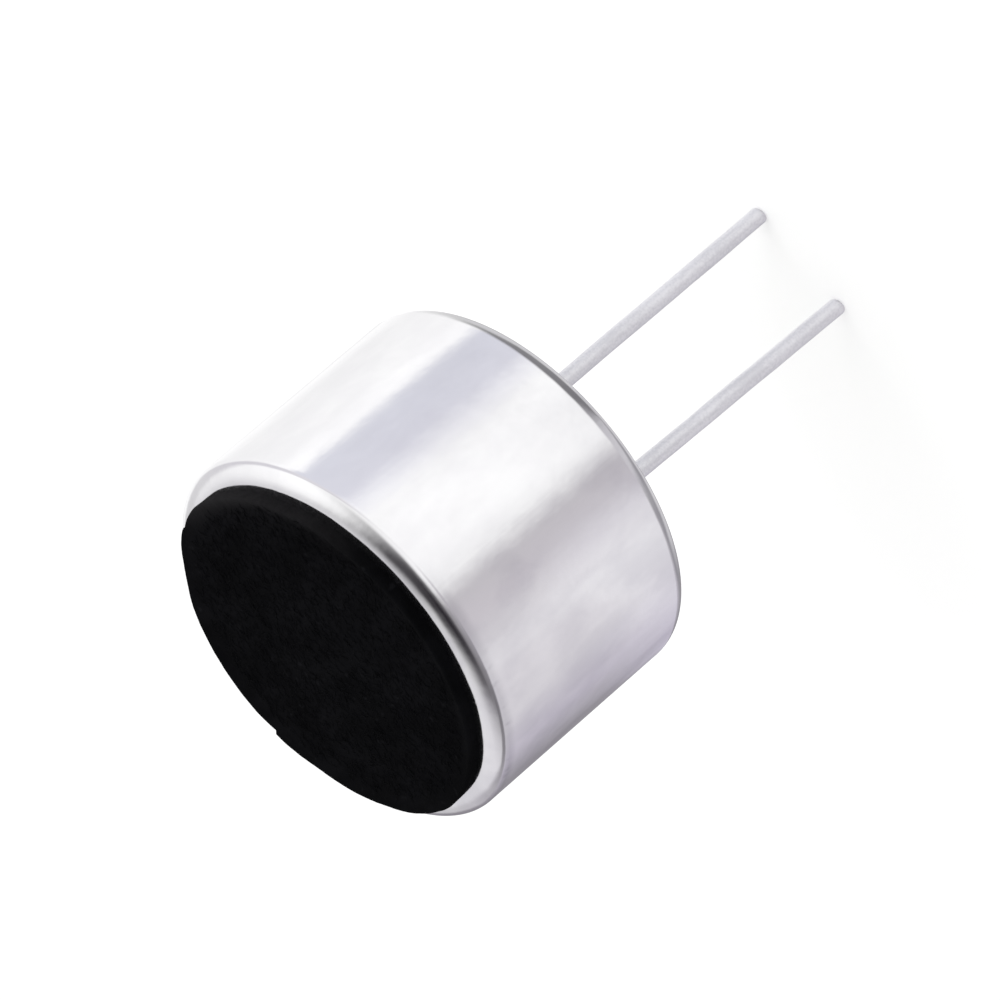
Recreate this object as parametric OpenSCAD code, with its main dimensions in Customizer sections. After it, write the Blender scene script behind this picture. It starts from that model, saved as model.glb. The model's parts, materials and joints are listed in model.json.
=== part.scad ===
// Electret microphone capsule: a drawn metal case rolled over a round board, with the sound cell
// clamped between them, a felt dust cover on the front and two wire leads soldered to the rear.
// The rear lip of the case lies on Z = 0, the front faces +Z and the leads run along -Z.

/* [Case] */
// Outside diameter of the case
case_d = 9.7; // [8:0.1:14]
// Height of the case, from its rear lip to its front face
case_h = 6.4; // [5:0.05:9]
// Thickness of the drawn metal
case_wall = 0.3; // [0.2:0.02:0.4]
// Radius of the rounded front rim
rim_round = 0.62; // [0.58:0.01:1]
// Width of the rounded front rim, in from the outside of the case
rim_w = 0.52; // [0.42:0.01:0.6]
// Outside radius of the rolled rear edge
rear_round = 0.45; // [0.42:0.01:0.7]
// Width of the rolled rear lip, in from the outside of the case
lip_w = 1; // [0.8:0.05:1.6]
// Diameter of each sound hole in the front
inlet_d = 0.9; // [0.4:0.05:1.2]
// Diameter of the circle that the outer sound holes lie on
inlet_circle_d = 3.6; // [2.8:0.1:4.4]
// Number of sound holes on that circle
inlet_count = 6; // [3:1:8]

/* [Dust cover] */
// Width of the bare metal left around the felt
felt_margin = 0.5; // [0.4:0.05:1]
// Thickness of the felt
felt_t = 0.25; // [0.12:0.01:0.5]
// Radius of the felt's cut edge
felt_round = 0.05; // [0.02:0.01:0.1]
// Thickness of the adhesive ring under the felt
glue_t = 0.05; // [0.03:0.01:0.1]
// Width of the adhesive ring
glue_w = 0.9; // [0.5:0.05:1.2]
// How far the adhesive ring stays back from the felt's edge
glue_inset = 0.15; // [0.05:0.05:0.4]

/* [Sound cell] */
// Gap between the bore of the case and the pieces stacked in it
stack_clear = 0.05; // [0.02:0.01:0.1]
// Height of the metal ring that carries the diaphragm
ring_h = 0.5; // [0.35:0.05:0.8]
// Width of that ring
ring_w = 0.8; // [0.6:0.05:1.2]
// Thickness of the diaphragm film
film_t = 0.02; // [0.01:0.005:0.04]
// Thickness of the spacer ring
spacer_t = 0.05; // [0.03:0.01:0.1]
// Width of the spacer ring
spacer_w = 0.8; // [0.6:0.05:1.2]
// Thickness of the electret film on the back plate
electret_t = 0.03; // [0.02:0.005:0.06]
// Thickness of the back plate
plate_t = 0.4; // [0.2:0.05:0.7]
// Diameter of each hole in the back plate
vent_d = 0.8; // [0.4:0.05:1.2]
// Diameter of the circle that these holes lie on
vent_circle_d = 4; // [2.6:0.1:5]
// Number of holes in the back plate
vent_count = 4; // [3:1:6]

/* [Chamber] */
// Wall of the chamber around the back plate
chamber_rim = 0.35; // [0.2:0.05:0.6]
// Gap around the back plate in its pocket
plate_clear = 0.05; // [0.02:0.01:0.1]
// Width of the ledge that the back plate lies on
ledge_w = 0.55; // [0.3:0.05:0.8]
// Lead-in chamfer on the chamber's rear edge
chamber_chamfer = 0.15; // [0.05:0.01:0.25]
// Gap between the chamber and the contact ring
gate_clear = 0.05; // [0.02:0.01:0.1]
// Wall of the contact ring that joins the back plate to the board
gate_wall = 0.3; // [0.15:0.05:0.5]

/* [Board] */
// Thickness of the board
board_t = 0.6; // [0.4:0.05:1]
// Thickness of the copper on both sides of it
land_t = 0.04; // [0.02:0.01:0.07]
// Bare edge between the rear copper and the edge of the board
board_edge = 0.1; // [0.05:0.01:0.15]
// How far the ring of rear copper shows inside the lip
ring_show = 0.25; // [0.1:0.05:0.5]
// Diameter of the land under each lead
lead_land_d = 1.9; // [1.7:0.05:2.2]
// Width of the copper spokes that earth the ground land
spoke_w = 0.35; // [0.2:0.05:0.6]
// Angle between the spokes
spoke_angle = 40; // [25:1:55]
// Diameter of each plated hole through the board
via_d = 0.3; // [0.2:0.02:0.4]
// Distance of a plated hole from its lead
via_inset = 0.6; // [0.5:0.05:0.7]
// Copper left around legs, ends and plated holes on the inner lands
land_edge = 0.1; // [0.05:0.01:0.12]

/* [Transistor] */
// Length of the transistor's body
fet_l = 1.6; // [1.4:0.05:2]
// Width of the transistor's body
fet_w = 0.8; // [0.6:0.05:1.1]
// Height of the transistor's body
fet_h = 0.6; // [0.45:0.05:0.9]
// Gap under the transistor's body
fet_lift = 0.08; // [0.04:0.01:0.15]
// Distance of the transistor from the middle of the board
fet_y = 1.15; // [1.1:0.05:1.4]
// Distance between the two legs on the same side
leg_pitch = 1; // [0.8:0.05:1.1]
// Width of each leg
leg_w = 0.24; // [0.16:0.02:0.3]
// Thickness of each leg
leg_t = 0.1; // [0.06:0.01:0.15]
// How far each leg reaches out from the body
leg_reach = 0.4; // [0.34:0.02:0.5]
// Length of the foot on each leg
foot_l = 0.22; // [0.16:0.02:0.26]

/* [Capacitor] */
// Length of the capacitor
cap_l = 1; // [0.9:0.05:1.3]
// Width and height of the capacitor
cap_w = 0.5; // [0.4:0.05:0.7]
// Length of each plated end
cap_end = 0.25; // [0.15:0.01:0.3]
// Thickness of the plating on the ends
cap_plate = 0.03; // [0.02:0.01:0.05]
// Distance of the capacitor from the middle of the board
cap_y = 0.9; // [0.75:0.05:1.3]

/* [Leads] */
// Distance between the leads at the board
lead_pitch = 2.6; // [2.5:0.02:3.2]
// How far the pair of leads sits off the middle of the board
lead_shift = 0.11; // [0:0.01:0.2]
// Diameter of each tinned lead
lead_d = 0.42; // [0.3:0.02:0.6]
// Thickness of the tin on a lead, which runs into the solder at the joint
tin_t = 0.01; // [0.005:0.001:0.02]
// Length of each lead below the rear lip
lead_len = 9.2; // [4:0.1:20]
// Lean of the output lead from the axis of the case
output_lean = 0.3; // [0:0.05:2]
// Lean of the ground lead from the axis of the case
ground_lean = 1.15; // [0:0.05:2]
// Chamfer on the cut end of each lead
tip_chamfer = 0.06; // [0.02:0.01:0.12]
// Diameter of each solder joint on its land
solder_d = 1.3; // [1:0.05:1.6]
// Height of each solder joint
solder_h = 0.65; // [0.4:0.05:1]
// Thickness of the solder at the top of a joint
solder_skin = 0.04; // [0.02:0.01:0.08]
// Radius of the hollow flank of a joint
solder_flank = 0.6; // [0.55:0.01:1.2]

/* [Hidden] */
$fn = 96;

// Depth by which a cutter stands past the face that it cuts
cut = 0.5;

// Radii, from the outside in
case_r = case_d / 2;
bore_r = case_r - case_wall;
rim_start_r = case_r - rim_w;
lip_r = case_r - lip_w;
stack_r = bore_r - stack_clear;
felt_r = case_r - felt_margin;
glue_r = felt_r - glue_inset;
pocket_r = stack_r - chamber_rim;
plate_r = pocket_r - plate_clear;
chamber_r = pocket_r - ledge_w;
gate_r = chamber_r - gate_clear;
gate_in_r = gate_r - gate_wall;
rear_in_round = rear_round - case_wall;
board_r = bore_r - rear_in_round;
copper_r = board_r - board_edge;

// Heights, from the rear lip to the front
lip_z = case_wall;
board_z = lip_z + land_t;
inner_z = board_z + board_t;
inner_land_z = inner_z + land_t;
front_z = case_h - case_wall;
ring_z = front_z - ring_h;
film_z = ring_z - film_t;
spacer_z = film_z - spacer_t;
electret_z = spacer_z - electret_t;
plate_z = electret_z - plate_t;

// Places on the board
output_x = lead_pitch / 2 - lead_shift;
ground_x = -lead_pitch / 2 - lead_shift;
leg_side_y = fet_w / 2;
foot_y = fet_y - leg_side_y - leg_reach;
gate_foot_y = fet_y + leg_side_y + leg_reach;
strip_in = min(cap_l / 2 - cap_end, leg_pitch / 2 - leg_w / 2) - land_edge / 2;
strip_out = max(cap_l / 2, leg_pitch / 2 + leg_w / 2) + land_edge;
strip_y = -cap_y - cap_w / 2 - land_edge;
strip_end_y = foot_y + foot_l + land_edge;
lead_r = lead_d / 2;

// Half section of a drawn cup: a wall of radius r with a rounded rear edge, and a front rim whose
// arc leaves the front face at rim_start_r and meets the wall in a crease
module cup_section(r, h, rim_r, rear_r) {
    rim_z = h - rim_r;
    square([rim_start_r, h]);
    intersection() {
        translate([rim_start_r, rim_z]) circle(rim_r);
        square([r, h]);
    }
    square([r - rear_r, rim_z]);
    translate([0, rear_r]) square([r, rim_z - rear_r]);
    translate([r - rear_r, rear_r]) circle(rear_r);
}

module cavity_section() {
    translate([0, case_wall])
        cup_section(bore_r, case_h - 2 * case_wall, rim_round - case_wall, rear_in_round);
}

// A flat ring of height h
module ring(outer_r, inner_r, h) {
    difference() {
        cylinder(r = outer_r, h = h);
        translate([0, 0, -cut]) cylinder(r = inner_r, h = h + 2 * cut);
    }
}

// Round holes of diameter d, evenly spaced on a circle and cut through h
module holes(count, circle_d, d, h) {
    for (i = [0 : count - 1])
        rotate(i * 360 / count)
            translate([circle_d / 2, 0, -cut]) cylinder(d = d, h = h + 2 * cut);
}

module dust_felt() {
    color([0.06, 0.06, 0.06])
        translate([0, 0, case_h + glue_t])
            rotate_extrude() {
                square([felt_r - felt_round, felt_t]);
                square([felt_r, felt_t - felt_round]);
                translate([felt_r - felt_round, felt_t - felt_round]) circle(felt_round);
            }
}

module felt_adhesive() {
    color([0.85, 0.82, 0.7])
        translate([0, 0, case_h]) ring(glue_r, glue_r - glue_w, glue_t);
}

module case() {
    color([0.8, 0.8, 0.83])
        difference() {
            rotate_extrude() difference() {
                cup_section(case_r, case_h, rim_round, rear_round);
                cavity_section();
                square([lip_r, 2 * case_wall]);
            }
            translate([0, 0, front_z]) {
                translate([0, 0, -cut]) cylinder(d = inlet_d, h = case_wall + 2 * cut);
                holes(inlet_count, inlet_circle_d, inlet_d, case_wall);
            }
        }
}

// The ring's front corner follows the inside of the case
module diaphragm_ring() {
    color([0.78, 0.65, 0.35])
        rotate_extrude() intersection() {
            translate([-stack_clear, 0]) cavity_section();
            translate([stack_r - ring_w, ring_z]) square([ring_w, ring_h]);
        }
}

module diaphragm() {
    color([0.86, 0.86, 0.88]) translate([0, 0, film_z]) cylinder(r = stack_r, h = film_t);
}

module spacer_ring() {
    color([0.9, 0.88, 0.8])
        translate([0, 0, spacer_z]) ring(stack_r, stack_r - spacer_w, spacer_t);
}

module electret_film() {
    color([0.75, 0.8, 0.85]) vented_disc(electret_z, electret_t);
}

module back_plate() {
    color([0.8, 0.78, 0.7]) vented_disc(plate_z, plate_t);
}

// A disc of the back plate's size with its holes
module vented_disc(z, h) {
    translate([0, 0, z]) difference() {
        cylinder(r = plate_r, h = h);
        holes(vent_count, vent_circle_d, vent_d, h);
    }
}

module chamber() {
    color([0.9, 0.9, 0.86])
        rotate_extrude() difference() {
            translate([chamber_r, inner_z]) square([stack_r - chamber_r, spacer_z - inner_z]);
            translate([chamber_r - cut, plate_z]) square([pocket_r - chamber_r + cut, spacer_z]);
            translate([stack_r, inner_z]) rotate(45)
                square(chamber_chamfer * sqrt(2), center = true);
        }
}

module contact_ring() {
    color([0.72, 0.45, 0.25])
        translate([0, 0, inner_land_z]) ring(gate_r, gate_in_r, plate_z - inner_land_z);
}

module circuit_board() {
    color([0.1, 0.4, 0.2])
        difference() {
            translate([0, 0, board_z]) cylinder(r = board_r, h = board_t);
            via(output_x - via_inset, cut);
            via(ground_x + via_inset, cut);
        }
}

// A plated hole's barrel, longer than the board by past at each end
module via(x, past = 0) {
    translate([x, 0, board_z - past]) cylinder(d = via_d, h = board_t + 2 * past);
}

module gate_land() {
    tab_w = leg_w + 2 * land_edge;
    tab_y = gate_foot_y - foot_l - land_edge;
    tab_end_y = gate_in_r + gate_wall / 2;
    color([0.85, 0.6, 0.3]) translate([0, 0, inner_z]) {
        ring(gate_r, gate_in_r, land_t);
        translate([-tab_w / 2, tab_y, 0]) cube([tab_w, tab_end_y - tab_y, land_t]);
    }
}

// Inner copper on one side of the board: a strip under a leg and a capacitor end, and its plated hole
module inner_land(side, via_x) {
    via_land_r = via_d / 2 + land_edge;
    strip_x = side > 0 ? strip_in : -strip_out;
    bar_x = min(via_x, side * strip_in);
    translate([0, 0, inner_z]) {
        translate([strip_x, strip_y, 0]) cube([strip_out - strip_in, strip_end_y - strip_y, land_t]);
        translate([bar_x, -via_land_r, 0])
            cube([max(via_x, side * strip_in) - bar_x, 2 * via_land_r, land_t]);
        translate([via_x, 0, 0]) cylinder(r = via_land_r, h = land_t);
    }
    via(via_x);
}

module output_land() {
    color([0.85, 0.6, 0.3]) {
        translate([output_x, 0, lip_z]) cylinder(d = lead_land_d, h = land_t);
        inner_land(1, output_x - via_inset);
    }
}

// The ground land reaches the case through spokes and a ring of copper under the lip
module ground_land() {
    color([0.85, 0.6, 0.3]) {
        translate([0, 0, lip_z]) {
            translate([ground_x, 0, 0]) cylinder(d = lead_land_d, h = land_t);
            ring(copper_r, lip_r - ring_show, land_t);
            intersection() {
                cylinder(r = (copper_r + lip_r) / 2, h = land_t);
                for (a = [-spoke_angle, 0, spoke_angle])
                    translate([ground_x, 0, 0]) rotate(180 + a)
                        translate([0, -spoke_w / 2, 0]) cube([case_r, spoke_w, land_t]);
            }
        }
        inner_land(-1, ground_x + via_inset);
    }
}

module transistor_body() {
    color([0.12, 0.12, 0.13])
        translate([-fet_l / 2, fet_y - leg_side_y, inner_land_z + fet_lift]) cube([fet_l, fet_w, fet_h]);
}

// One bent leg: out of the body's side, down, and a foot on the board, reaching along -Y from y = 0
module leg() {
    root_z = fet_lift + fet_h / 2;
    knee = leg_reach - foot_l;
    translate([leg_w / 2, 0, 0]) rotate([90, 0, -90]) linear_extrude(leg_w)
        polygon([
            [0, root_z], [knee - leg_t, root_z], [knee - leg_t, 0], [leg_reach, 0],
            [leg_reach, leg_t], [knee, leg_t], [knee, root_z + leg_t], [0, root_z + leg_t]
        ]);
}

module transistor_legs() {
    color([0.75, 0.75, 0.78]) translate([0, fet_y, inner_land_z]) {
        for (x = [-1, 1]) translate([x * leg_pitch / 2, -leg_side_y, 0]) leg();
        translate([0, leg_side_y, 0]) rotate(180) leg();
    }
}

module capacitor_body() {
    color([0.7, 0.55, 0.4])
        translate([0, -cap_y, inner_land_z + cap_w / 2])
            cube([cap_l - 2 * cap_plate, cap_w - 2 * cap_plate, cap_w - 2 * cap_plate], center = true);
}

module capacitor_ends() {
    color([0.8, 0.8, 0.82]) difference() {
        for (x = [-1, 1])
            translate([x * (cap_l - cap_end) / 2, -cap_y, inner_land_z + cap_w / 2])
                cube([cap_end, cap_w, cap_w], center = true);
        capacitor_body();
    }
}

// A straight wire from its land down to its cut end, bare of tin inside the solder
module lead(x, lean) {
    wire_l = (lip_z + lead_len) / cos(lean);
    bare_l = solder_h - solder_skin;
    difference() {
        translate([x, 0, lip_z]) rotate([0, lean, 0]) mirror([0, 0, 1]) {
            translate([0, 0, -cut]) cylinder(r = lead_r - tin_t, h = bare_l + cut);
            translate([0, 0, bare_l]) cylinder(r = lead_r, h = wire_l - bare_l - tip_chamfer);
            translate([0, 0, wire_l - tip_chamfer])
                cylinder(r1 = lead_r, r2 = lead_r - tip_chamfer, h = tip_chamfer);
        }
        translate([x, 0, lip_z]) cylinder(d = lead_land_d, h = 2 * cut);
    }
}

// A solder cone with a hollow flank, from the land down to the wire
module solder_joint(x, lean) {
    foot = [solder_d / 2, 0];
    top = [lead_r + solder_skin, solder_h];
    chord = top - foot;
    rise = sqrt(pow(solder_flank, 2) - chord * chord / 4);
    hollow = (foot + top) / 2 + rise * [chord[1], -chord[0]] / norm(chord);
    difference() {
        translate([x, 0, lip_z]) mirror([0, 0, 1]) rotate_extrude() difference() {
            square([foot[0], top[1]]);
            translate(hollow) circle(solder_flank);
        }
        lead(x, lean);
    }
}

module output_solder() { color([0.72, 0.73, 0.76]) solder_joint(output_x, output_lean); }

module ground_solder() { color([0.72, 0.73, 0.76]) solder_joint(ground_x, ground_lean); }

module output_lead() { color([0.82, 0.82, 0.86]) lead(output_x, output_lean); }

module ground_lead() { color([0.82, 0.82, 0.86]) lead(ground_x, ground_lean); }

dust_felt();
felt_adhesive();
case();
diaphragm_ring();
diaphragm();
spacer_ring();
electret_film();
back_plate();
chamber();
contact_ring();
circuit_board();
gate_land();
output_land();
ground_land();
transistor_body();
transistor_legs();
capacitor_body();
capacitor_ends();
output_solder();
ground_solder();
output_lead();
ground_lead();
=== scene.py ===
import json
import math

import bmesh
import bpy
from mathutils import Matrix, Vector, noise


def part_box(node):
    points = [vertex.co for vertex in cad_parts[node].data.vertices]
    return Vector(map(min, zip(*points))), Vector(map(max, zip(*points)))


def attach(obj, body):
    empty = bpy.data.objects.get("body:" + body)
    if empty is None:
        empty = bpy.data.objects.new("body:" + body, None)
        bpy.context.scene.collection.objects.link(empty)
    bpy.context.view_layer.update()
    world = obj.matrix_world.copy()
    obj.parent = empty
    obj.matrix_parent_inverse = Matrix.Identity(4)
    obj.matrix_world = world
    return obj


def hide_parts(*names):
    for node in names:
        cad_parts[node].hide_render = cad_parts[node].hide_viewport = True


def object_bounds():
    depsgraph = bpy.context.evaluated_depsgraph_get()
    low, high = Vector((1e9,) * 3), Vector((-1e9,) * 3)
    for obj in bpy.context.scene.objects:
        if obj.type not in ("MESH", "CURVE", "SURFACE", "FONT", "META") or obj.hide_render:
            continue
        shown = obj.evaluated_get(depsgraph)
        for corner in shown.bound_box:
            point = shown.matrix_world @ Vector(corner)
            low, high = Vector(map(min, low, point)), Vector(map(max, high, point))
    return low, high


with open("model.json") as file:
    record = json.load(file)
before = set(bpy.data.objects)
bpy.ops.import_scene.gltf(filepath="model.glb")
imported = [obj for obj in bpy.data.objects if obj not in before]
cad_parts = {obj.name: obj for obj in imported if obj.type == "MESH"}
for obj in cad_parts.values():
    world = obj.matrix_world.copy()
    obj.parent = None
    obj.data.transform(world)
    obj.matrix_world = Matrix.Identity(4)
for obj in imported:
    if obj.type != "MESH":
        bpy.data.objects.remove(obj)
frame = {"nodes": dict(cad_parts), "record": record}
cad_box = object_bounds()

MM = 0.001

# The picture: its side in pixels, and how the capsule stands in it
IMAGE_PIXELS = 1000
FOCAL_PIXELS = 10000
PIXELS_PER_MM = 45.18
FRONT_PIXEL = (334.8, 646.3)
VIEW_TILT = math.radians(61.3)
VIEW_ROLL = math.radians(40.7)
SENSOR_W = 36

# The case: a drawn cup with a creased front rim and a rolled rear lip
case_low, case_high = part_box("case")
CASE_R = min(case_high.x, case_high.y)
CASE_TOP = case_high.z
CASE_WALL = 0.3 * MM
RIM_ROUND = 0.62 * MM
RIM_W = 0.52 * MM
REAR_ROUND = 0.45 * MM
LIP_W = 1.0 * MM
LIP_DEBURR = 0.06 * MM
CREASE_SOFT = 0.1 * MM
INLET_D = 0.9 * MM
INLET_CIRCLE_D = 3.6 * MM
INLET_COUNT = 6
INLET_STEPS = 64
CASE_STEPS = 288
RIM_STEPS = 24
REAR_STEPS = 20
# The steps of any small rounding
ROUND_STEPS = 6

# The felt: a punched disc with a slightly uneven edge, stuck on a little off the axis
felt_low, felt_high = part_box("dust_felt")
FELT_R = felt_high.x
GLUE_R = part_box("felt_adhesive")[1].x
GLUE_W = 0.9 * MM
FELT_SHIFT = Vector((-0.02, 0.13, 0)) * MM
FELT_ROUND = 0.06 * MM
SKIRT_DRAW = 0.01 * MM
FELT_STEPS = 480
FELT_RINGS = 84

# The loose fibres on it: their sizes, how many to the square metre, how far they keep from the cut edge, and
# the room under the felt's highest plane that they lie in, which closes to the edge as a power of the radius
FIBRE_L = 0.2 * MM
FIBRE_R = 0.006 * MM
FIBRE_SIZES = (0.45, 1.25)
FIBRE_DENSITY = 1.0e8
FIBRE_SEED = 11
FIBRE_MARGIN = 0.4 * MM
FIBRE_ROOM = 0.05 * MM
FIBRE_ROOM_REACH = 24

# Where the wires stand, from the record
mounts = {m["name"]: m for m in frame["record"]["mounts"]}


def find_socket(sockets, name):
    """A node's socket by its number, its identifier or its name, of those in use."""
    if isinstance(name, int):
        return sockets[name]
    in_use = [s for s in sockets if s.enabled]
    return next(s for s in in_use if name in (s.identifier, s.name))


class Link:
    """A node's output that takes part in Python expressions: arithmetic on it adds Math nodes."""

    def __init__(self, graph, socket):
        self.graph = graph
        self.socket = socket

    def out(self, name):
        """Another output of the same node."""
        return Link(self.graph, find_socket(self.socket.node.outputs, name))

    def __add__(self, other):
        return self.graph.math("ADD", self, other)

    def __sub__(self, other):
        return self.graph.math("SUBTRACT", self, other)

    def __rsub__(self, other):
        return self.graph.math("SUBTRACT", other, self)

    def __mul__(self, other):
        return self.graph.math("MULTIPLY", self, other)

    def __truediv__(self, other):
        return self.graph.math("DIVIDE", self, other)

    __radd__ = __add__
    __rmul__ = __mul__


class Graph:
    """A node tree of a finish, of the studio's light or of a shape."""

    def __init__(self, tree):
        self.tree = tree
        tree.nodes.clear()

    def node(self, kind, settings=None, inputs=None):
        """Makes a node of a kind, sets it up, and gives its sockets their values or links."""
        made = self.tree.nodes.new(kind)
        for name, value in (settings or {}).items():
            if name == "stops":
                set_stops(made.color_ramp, value)
            else:
                setattr(made, name, value)
        for name, value in (inputs or {}).items():
            socket = find_socket(made.inputs, name)
            if isinstance(value, Link):
                self.tree.links.new(value.socket, socket)
            else:
                socket.default_value = value
        outputs = [s for s in made.outputs if s.enabled]
        return Link(self, outputs[0]) if outputs else None

    def math(self, operation, *terms):
        """A Math node on links and numbers."""
        return self.node("ShaderNodeMath", {"operation": operation}, dict(enumerate(terms)))

    def step(self, value, low, high):
        """0 below low, 1 above high and a smooth rise between them."""
        return self.node(
            "ShaderNodeMapRange",
            {"interpolation_type": "SMOOTHSTEP"},
            {"Value": value, "From Min": low, "From Max": high},
        )

    def mix(self, share, first, second):
        """The first colour at a share of 0 and the second at 1."""
        return self.node(
            "ShaderNodeMix",
            {"data_type": "RGBA"},
            {"Factor_Float": share, "A_Color": first, "B_Color": second},
        )

    def place(self, stretch=(1, 1, 1)):
        """The object's own coordinates in millimetres, stretched along each axis."""
        own = self.node("ShaderNodeTexCoord").out("Object")
        scale = tuple(s / MM for s in stretch)
        return self.node("ShaderNodeVectorMath", {"operation": "MULTIPLY"}, {0: own, 1: scale})

    def parts(self, vector=None):
        """A vector's X, Y and Z, or those of the object's own place in millimetres."""
        return self.node("ShaderNodeSeparateXYZ", None, {"Vector": vector or self.place()})

    def from_axis(self, parts):
        """The distance of a place from the Z axis."""
        return self.math("SQRT", parts.out("X") * parts.out("X") + parts.out("Y") * parts.out("Y"))

    def grain(self, per_mm, detail=3, rough=0.5, stretch=(1, 1, 1)):
        """Cloudy noise from 0 to 1, with so many clouds in a millimetre."""
        return self.node(
            "ShaderNodeTexNoise",
            None,
            {"Vector": self.place(stretch), "Scale": per_mm, "Detail": detail, "Roughness": rough},
        )

    def bump(self, height, depth):
        """A normal for a relief of that depth in metres."""
        return self.node("ShaderNodeBump", None, {"Distance": depth, "Height": height})


def set_stops(ramp, stops):
    """Gives a colour ramp its stops, each a place from 0 to 1 and a colour."""
    first, last = ramp.elements[0], ramp.elements[1]
    first.position, first.color = stops[0]
    last.position, last.color = stops[-1]
    for place, colour in stops[1:-1]:
        ramp.elements.new(place).color = colour


def new_material(name):
    """A material and its empty graph."""
    material = bpy.data.materials.new(name)
    material.use_nodes = True
    return material, Graph(material.node_tree)


def add_object(name, data):
    """A new object in the scene."""
    made = bpy.data.objects.new(name, data)
    bpy.context.scene.collection.objects.link(made)
    return made


def finish(name, paint):
    """A material whose surface paint() describes, as the sockets of its shader."""
    material, graph = new_material(name)
    surface = graph.node("ShaderNodeBsdfPrincipled", None, paint(graph))
    graph.node("ShaderNodeOutputMaterial", None, {"Surface": surface})
    return material


def grey(level, rose=0.0, blue=0.0):
    """A grey of that green, with its red and its blue raised by a share."""
    return (level * (1 + rose), level, level * (1 + blue), 1)


def satin_aluminium(graph):
    """Drawn aluminium: fine lines along the axis, a soft haze and a faint orange peel. The side of -X has
    been handled and is smudged, and just below the crease it has a band of painted shade."""
    lines = graph.grain(9, 2, 0.6, (1, 1, 0.03))
    haze = graph.step(graph.grain(0.42, 5, 0.6, (1, 1, 0.6)), 0.36, 0.66)
    waves = graph.grain(0.5, 2, 0.5)
    peel = graph.grain(1.7, 2, 0.5)
    rub = graph.step(graph.grain(2.3, 5, 0.7, (1, 1, 0.35)), 0.52, 0.75)
    relief = lines * 0.1 + peel * 0.9 + waves * 2.4
    own = graph.parts()
    minus_x_side = graph.step(0 - own.out("X"), -0.4, 1.4)
    smudge = graph.step(graph.grain(0.75, 4, 0.5, (1, 1, 0.55)), 0.36, 0.64)
    clean = graph.mix(haze, (0.915, 0.91, 0.92, 1), (0.845, 0.838, 0.855, 1))
    smudged = graph.mix(smudge, (0.955, 0.95, 0.955, 1), (0.82, 0.812, 0.835, 1))
    # Painted shade: a darker band just below the rim's crease, on the side of -X only
    crease_z = (CASE_TOP - RIM_ROUND + math.sqrt(RIM_ROUND ** 2 - RIM_W ** 2)) / MM
    below = graph.step(own.out("Z"), crease_z - 0.36, crease_z - 0.04)
    above = graph.step(own.out("Z"), crease_z - 0.02, crease_z + 0.06)
    painted_crease_shade = below * (1 - above) * minus_x_side * (0.55 + rub * 0.45)
    skin = graph.mix(minus_x_side, clean, smudged)
    return {
        "Base Color": graph.mix(painted_crease_shade, skin, (0.6, 0.595, 0.62, 1)),
        "Metallic": 1.0,
        "Roughness": 0.1 + haze * 0.04 + lines * 0.02 + rub * 0.05,
        "Normal": graph.bump(relief, 0.007 * MM),
    }


# The heading of the felt's painted light, from the camera's side towards +X: the edge is painted greyer on
# the side towards the key lamp
LIT_EDGE_WAY = math.radians(58)


def black_felt(graph):
    """Needled black felt: matt, clumped and flecked, with painted light on its edge: greyer on the side that
    faces the key lamp.
    """
    radius = FELT_R / MM
    lay = graph.grain(5, 4, 0.65, (0.35, 1.3, 1))
    patches = graph.grain(0.55, 3, 0.6)
    clumps = graph.step(graph.grain(0.85, 4, 0.55, (1.3, 0.7, 1)), 0.34, 0.66)
    flecks = graph.step(graph.grain(4, 2, 0.5), 0.64, 0.78)
    hairs = graph.grain(24, 2, 0.6)
    own = graph.parts()
    frayed = graph.from_axis(own) + lay * 0.3
    foot = graph.step(frayed, radius - 1.1, radius - 0.1)
    edge = graph.step(frayed, radius - 0.4, radius + 0.25) * 0.85 + foot * 0.15
    # Painted light: the cut edge is made greyer on the side that faces the key lamp
    facing = own.out("X") * math.sin(LIT_EDGE_WAY) - own.out("Y") * math.cos(LIT_EDGE_WAY)
    painted_lit_edge = edge * graph.step(facing + patches * 0.5, 2.8, 4.5)
    shade = graph.step(lay * 0.35 + clumps * 0.65, 0.1, 0.9)
    matted = graph.mix(shade, grey(0.0024, 0, 0.2), grey(0.0045, 0, 0.2))
    face = graph.mix(flecks * 0.45, matted, grey(0.012, 0, 0.15))
    return {
        "Base Color": graph.mix(painted_lit_edge, face, grey(0.024, 0.04, 0.06)),
        "Roughness": 1.0,
        "Specular IOR Level": 0.03,
        "Normal": graph.bump(lay * 0.6 + hairs * 0.4, 0.03 * MM),
    }


def felt_hair(graph):
    """Single black fibres, some of them a little greyer."""
    return {
        "Base Color": graph.mix(graph.grain(6), grey(0.002, 0, 0.2), grey(0.007, 0, 0.2)),
        "Roughness": 0.8,
        "Specular IOR Level": 0.04,
    }


def tinned_wire(graph):
    """Dip-tinned copper wire: pale and dulled by oxide, with soft runs along it."""
    runs = graph.grain(5, 3, 0.6, (1, 1, 0.12))
    grains = graph.grain(16, 2)
    dull = graph.step(runs * 0.5 + grains * 0.5, 0.38, 0.62)
    return {
        "Base Color": graph.mix(dull, (0.95, 0.945, 0.975, 1), (0.845, 0.84, 0.875, 1)),
        "Metallic": 0.75,
        "Roughness": 0.46 + runs * 0.12,
        "Normal": graph.bump(runs * 0.7 + grains * 0.3, 0.008 * MM),
    }


def bright_solder(graph):
    """Solder that set with a bright skin and a few frosted grains."""
    frost = graph.step(graph.grain(7, 4, 0.6), 0.45, 0.7)
    return {
        "Base Color": graph.mix(frost, (0.78, 0.78, 0.8, 1), (0.64, 0.64, 0.67, 1)),
        "Metallic": 1.0,
        "Roughness": 0.16 + frost * 0.2,
        "Normal": graph.bump(frost, 0.006 * MM),
    }


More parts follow.
